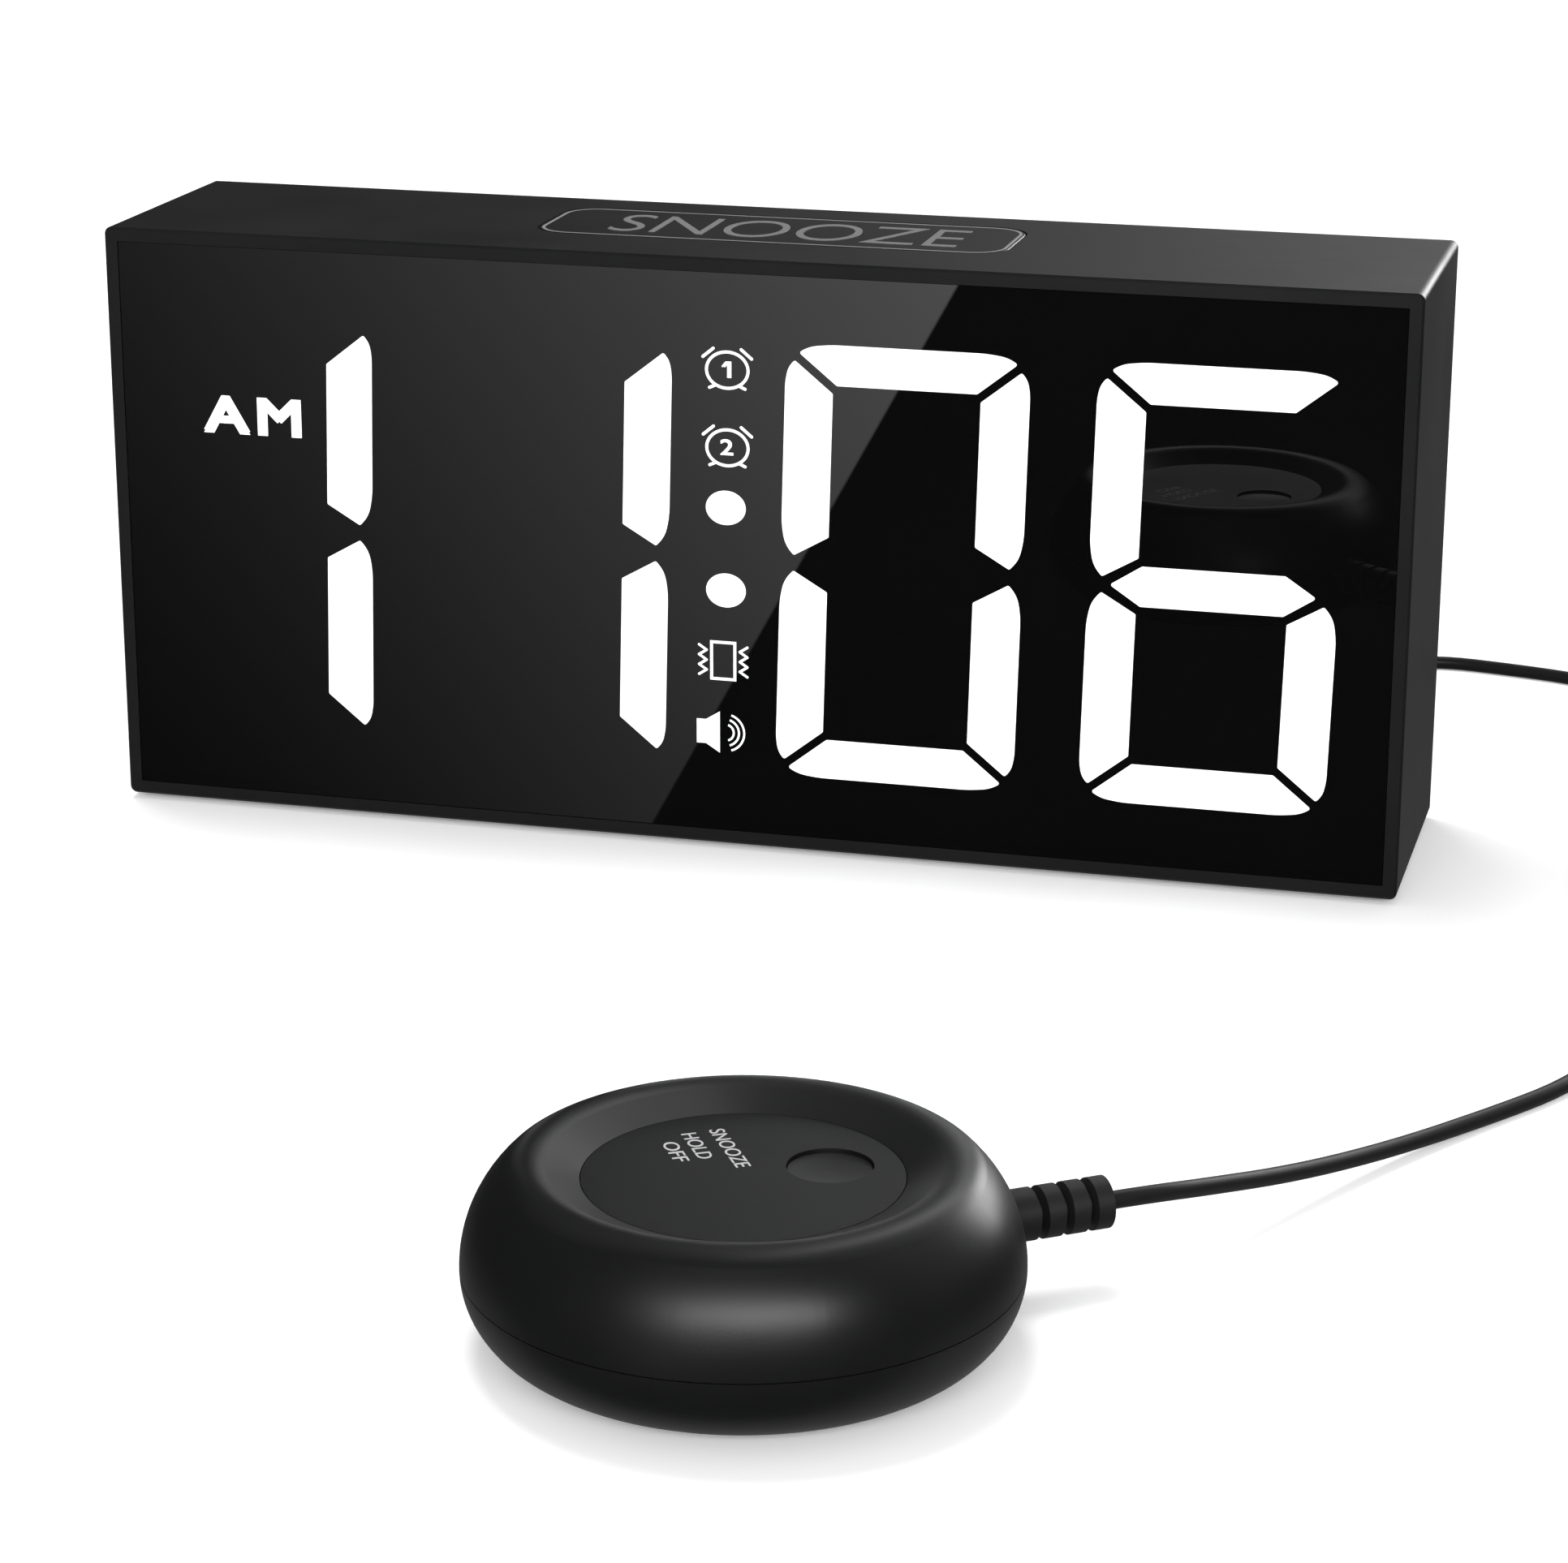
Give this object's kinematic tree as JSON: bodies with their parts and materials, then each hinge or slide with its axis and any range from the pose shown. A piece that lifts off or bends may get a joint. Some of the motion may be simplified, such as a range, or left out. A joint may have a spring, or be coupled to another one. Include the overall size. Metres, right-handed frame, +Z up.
{
  "type": "bed shaker alarm clock",
  "caption": "Wide mains alarm clock with a large lit display, top snooze button and rear controls, corded to a round vibrating pad for under a pillow.",
  "frame": {"origin": "on the table, under the middle of the bounding box of the clock and the pad together, cord left out", "axes": "+Z up, the clock's display faces -Y, +X to the right as the display is read; the pad lies in front of the clock's right half"},
  "size_m": [0.2975, 0.362, 0.1002],
  "materials": {
    "case_plastic": "satin",
    "panel_gloss": "glossy",
    "lit_white": "lit from behind",
    "line_grey": "satin",
    "button_plastic": "satin",
    "shaker_plastic": "satin",
    "disc_plastic": "satin",
    "white_plastic": "matte",
    "rubber": "matte",
    "cord_jacket": "satin",
    "tie_strap": "matte",
    "board": "satin",
    "component": "matte",
    "led_yellow": "glossy",
    "steel": "bright",
    "brass": "bright",
    "magnet": "matte",
    "cone_paper": "matte",
    "cell_wrap": "satin"
  },
  "bodies": {
    "clock_and_pad": {"housing_shell": "case_plastic", "rubber_feet": "rubber", "display_panel": "panel_gloss", "reflector_block": "white_plastic", "led_board": "board", "leds": "led_yellow", "hour_tens_segments": "lit_white", "hour_units_segments": "lit_white", "minute_tens_segments": "lit_white", "minute_units_segments": "lit_white", "colon_dots": "lit_white", "alarm_signs": "lit_white", "alert_signs": "lit_white", "snooze_bracket": "case_plastic", "tact_switches": "component", "rear_cover": "case_plastic", "case_screws": "steel", "inner_screws": "steel", "main_board": "board", "board_parts": "component", "slide_switch_bodies": "steel", "volume_control": "component", "power_socket": "component", "shaker_socket": "component", "battery_tray": "case_plastic", "battery_cells": "cell_wrap", "battery_contacts": "steel", "speaker_frame": "steel", "speaker_magnet": "magnet", "speaker_cone": "cone_paper", "speaker_screws": "steel", "shaker_top_shell": "shaker_plastic", "shaker_bottom_shell": "shaker_plastic", "shaker_base_pad": "rubber", "shaker_disc": "disc_plastic", "shaker_board": "board", "shaker_switch": "component", "shaker_motor": "steel", "motor_clamp": "steel", "shaker_inner_screws": "steel", "shaker_case_screws": "steel", "strain_relief": "rubber", "cord_plug": "cord_jacket", "cord_tie": "tie_strap", "cord_coil": "cord_jacket", "cord_clock_side": "cord_jacket", "cord_shaker_side": "cord_jacket"},
    "snooze": {"snooze_button": "button_plastic", "snooze_line": "line_grey"},
    "time_key": {"time_button": "button_plastic"},
    "alarm_1_key": {"alarm_1_button": "button_plastic"},
    "alarm_2_key": {"alarm_2_button": "button_plastic"},
    "minus_key": {"minus_button": "button_plastic"},
    "plus_key": {"plus_button": "button_plastic"},
    "mode_knob": {"mode_slider": "button_plastic"},
    "dimmer_knob": {"dimmer_slider": "button_plastic"},
    "volume": {"volume_wheel": "button_plastic"},
    "door": {"battery_door": "case_plastic"},
    "shaker_key": {"shaker_button": "shaker_plastic"},
    "weight": {"eccentric_weight": "brass"}
  },
  "joints": [
    {"name": "snooze_press", "type": "slide", "parent": "clock_and_pad", "child": "snooze", "axis": [0, 0, -1], "range_m": [0, 0.001], "stiffness_N_per_m": 800},
    {"name": "time_press", "type": "slide", "parent": "clock_and_pad", "child": "time_key", "axis": [0, -1, 0], "range_m": [0, 0.0008], "stiffness_N_per_m": 500},
    {"name": "alarm_1_press", "type": "slide", "parent": "clock_and_pad", "child": "alarm_1_key", "axis": [0, -1, 0], "range_m": [0, 0.0008], "stiffness_N_per_m": 500},
    {"name": "alarm_2_press", "type": "slide", "parent": "clock_and_pad", "child": "alarm_2_key", "axis": [0, -1, 0], "range_m": [0, 0.0008], "stiffness_N_per_m": 500},
    {"name": "minus_press", "type": "slide", "parent": "clock_and_pad", "child": "minus_key", "axis": [0, -1, 0], "range_m": [0, 0.0008], "stiffness_N_per_m": 500},
    {"name": "plus_press", "type": "slide", "parent": "clock_and_pad", "child": "plus_key", "axis": [0, -1, 0], "range_m": [0, 0.0008], "stiffness_N_per_m": 500},
    {"name": "mode_slide", "type": "slide", "parent": "clock_and_pad", "child": "mode_knob", "axis": [1, 0, 0], "range_m": [-0.0025, 0.0025]},
    {"name": "dimmer_slide", "type": "slide", "parent": "clock_and_pad", "child": "dimmer_knob", "axis": [1, 0, 0], "range_m": [-0.0025, 0.0025]},
    {"name": "volume_turn", "type": "hinge", "parent": "clock_and_pad", "child": "volume", "pos_m": [0.016, 0.12635, 0.06], "axis": [0, 0, 1], "range_deg": [0, 270]},
    {"name": "door_swing", "type": "hinge", "parent": "clock_and_pad", "child": "door", "pos_m": [0.008, 0.13195, 0.01265], "axis": [-1, 0, 0], "range_deg": [0, 100]},
    {"name": "shaker_press", "type": "slide", "parent": "clock_and_pad", "child": "shaker_key", "axis": [0, 0, -1], "range_m": [0, 0.0006], "stiffness_N_per_m": 400},
    {"name": "weight_spin", "type": "hinge", "parent": "clock_and_pad", "child": "weight", "pos_m": [0.04622, -0.10816, 0.0103], "axis": [-0.5299, 0.848, 0], "continuous": true}
  ]
}
